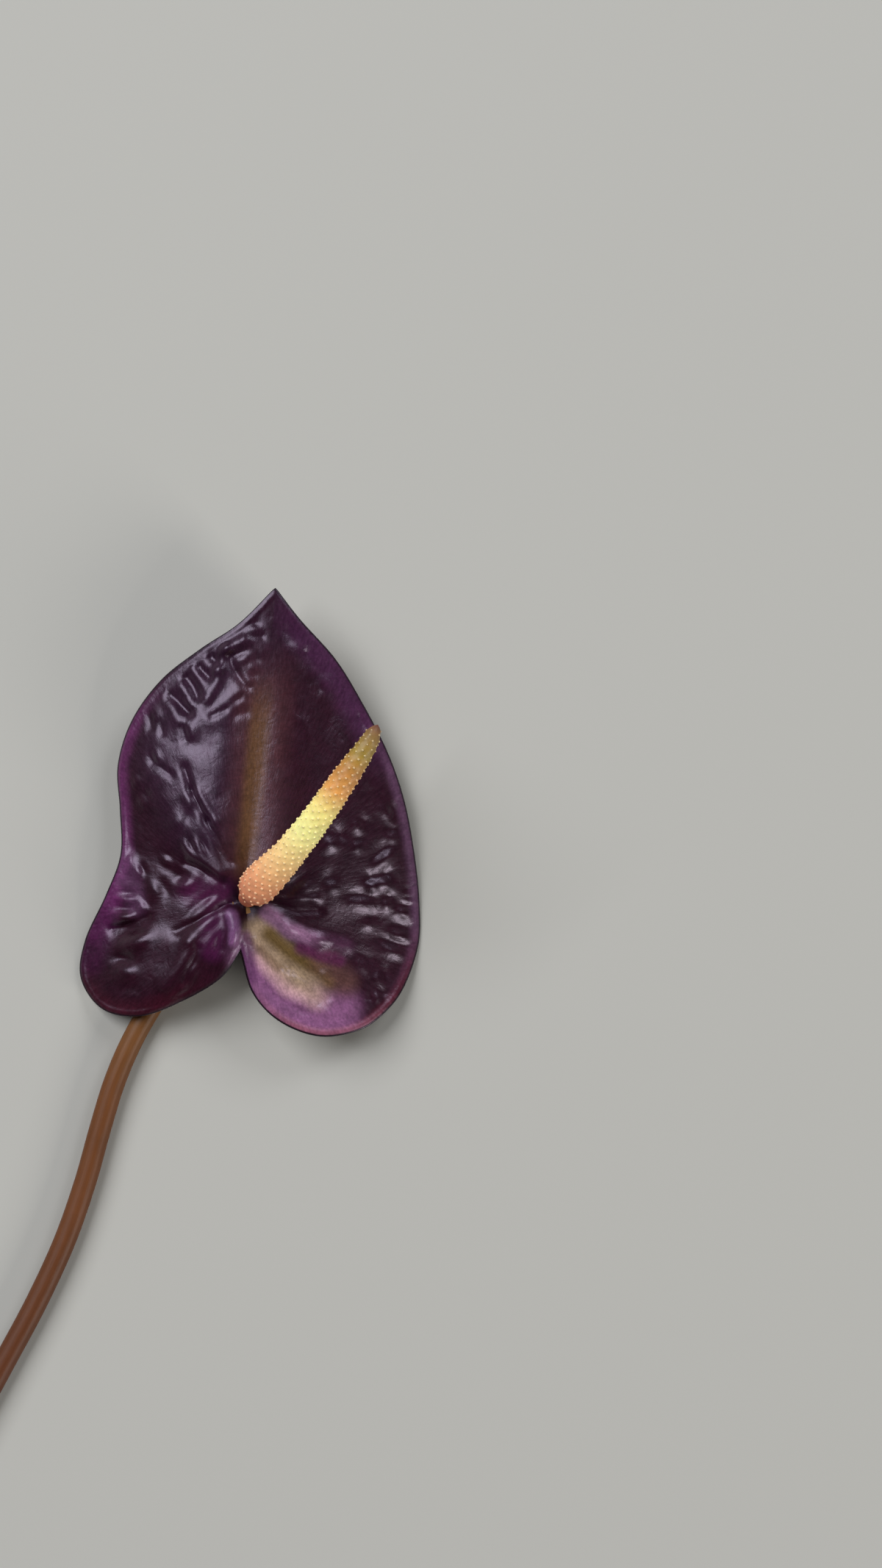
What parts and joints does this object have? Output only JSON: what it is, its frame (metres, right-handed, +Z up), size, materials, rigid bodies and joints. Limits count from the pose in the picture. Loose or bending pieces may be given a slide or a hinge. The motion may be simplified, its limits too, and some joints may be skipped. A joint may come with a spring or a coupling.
{
  "type": "anthurium flower",
  "caption": "Cut anthurium flower lying face up: a heart-shaped glossy dark spathe with a curved spadix, on a long bent stem that ends in a cut.",
  "frame": {"origin": "middle of the bottom of the box, on the surface that the flower lies on", "axes": "+Z up from the surface, +Y from the cut end of the stem towards the spathe's tip, +X to the flower's right"},
  "size_m": [0.1794, 0.3692, 0.0474],
  "materials": {
    "stem": "smooth satin stalk, ochre tan turning redder towards the cut end",
    "spathe": "waxy gloss, quilted, dark aubergine with an olive midrib and lilac patches",
    "spadix": "matt, covered in small pale bumps, salmon at the base through yellow to a brown tip"
  },
  "bodies": {
    "root": {"stem": "stem", "spathe": "spathe", "spadix": "spadix"}
  },
  "joints": []
}
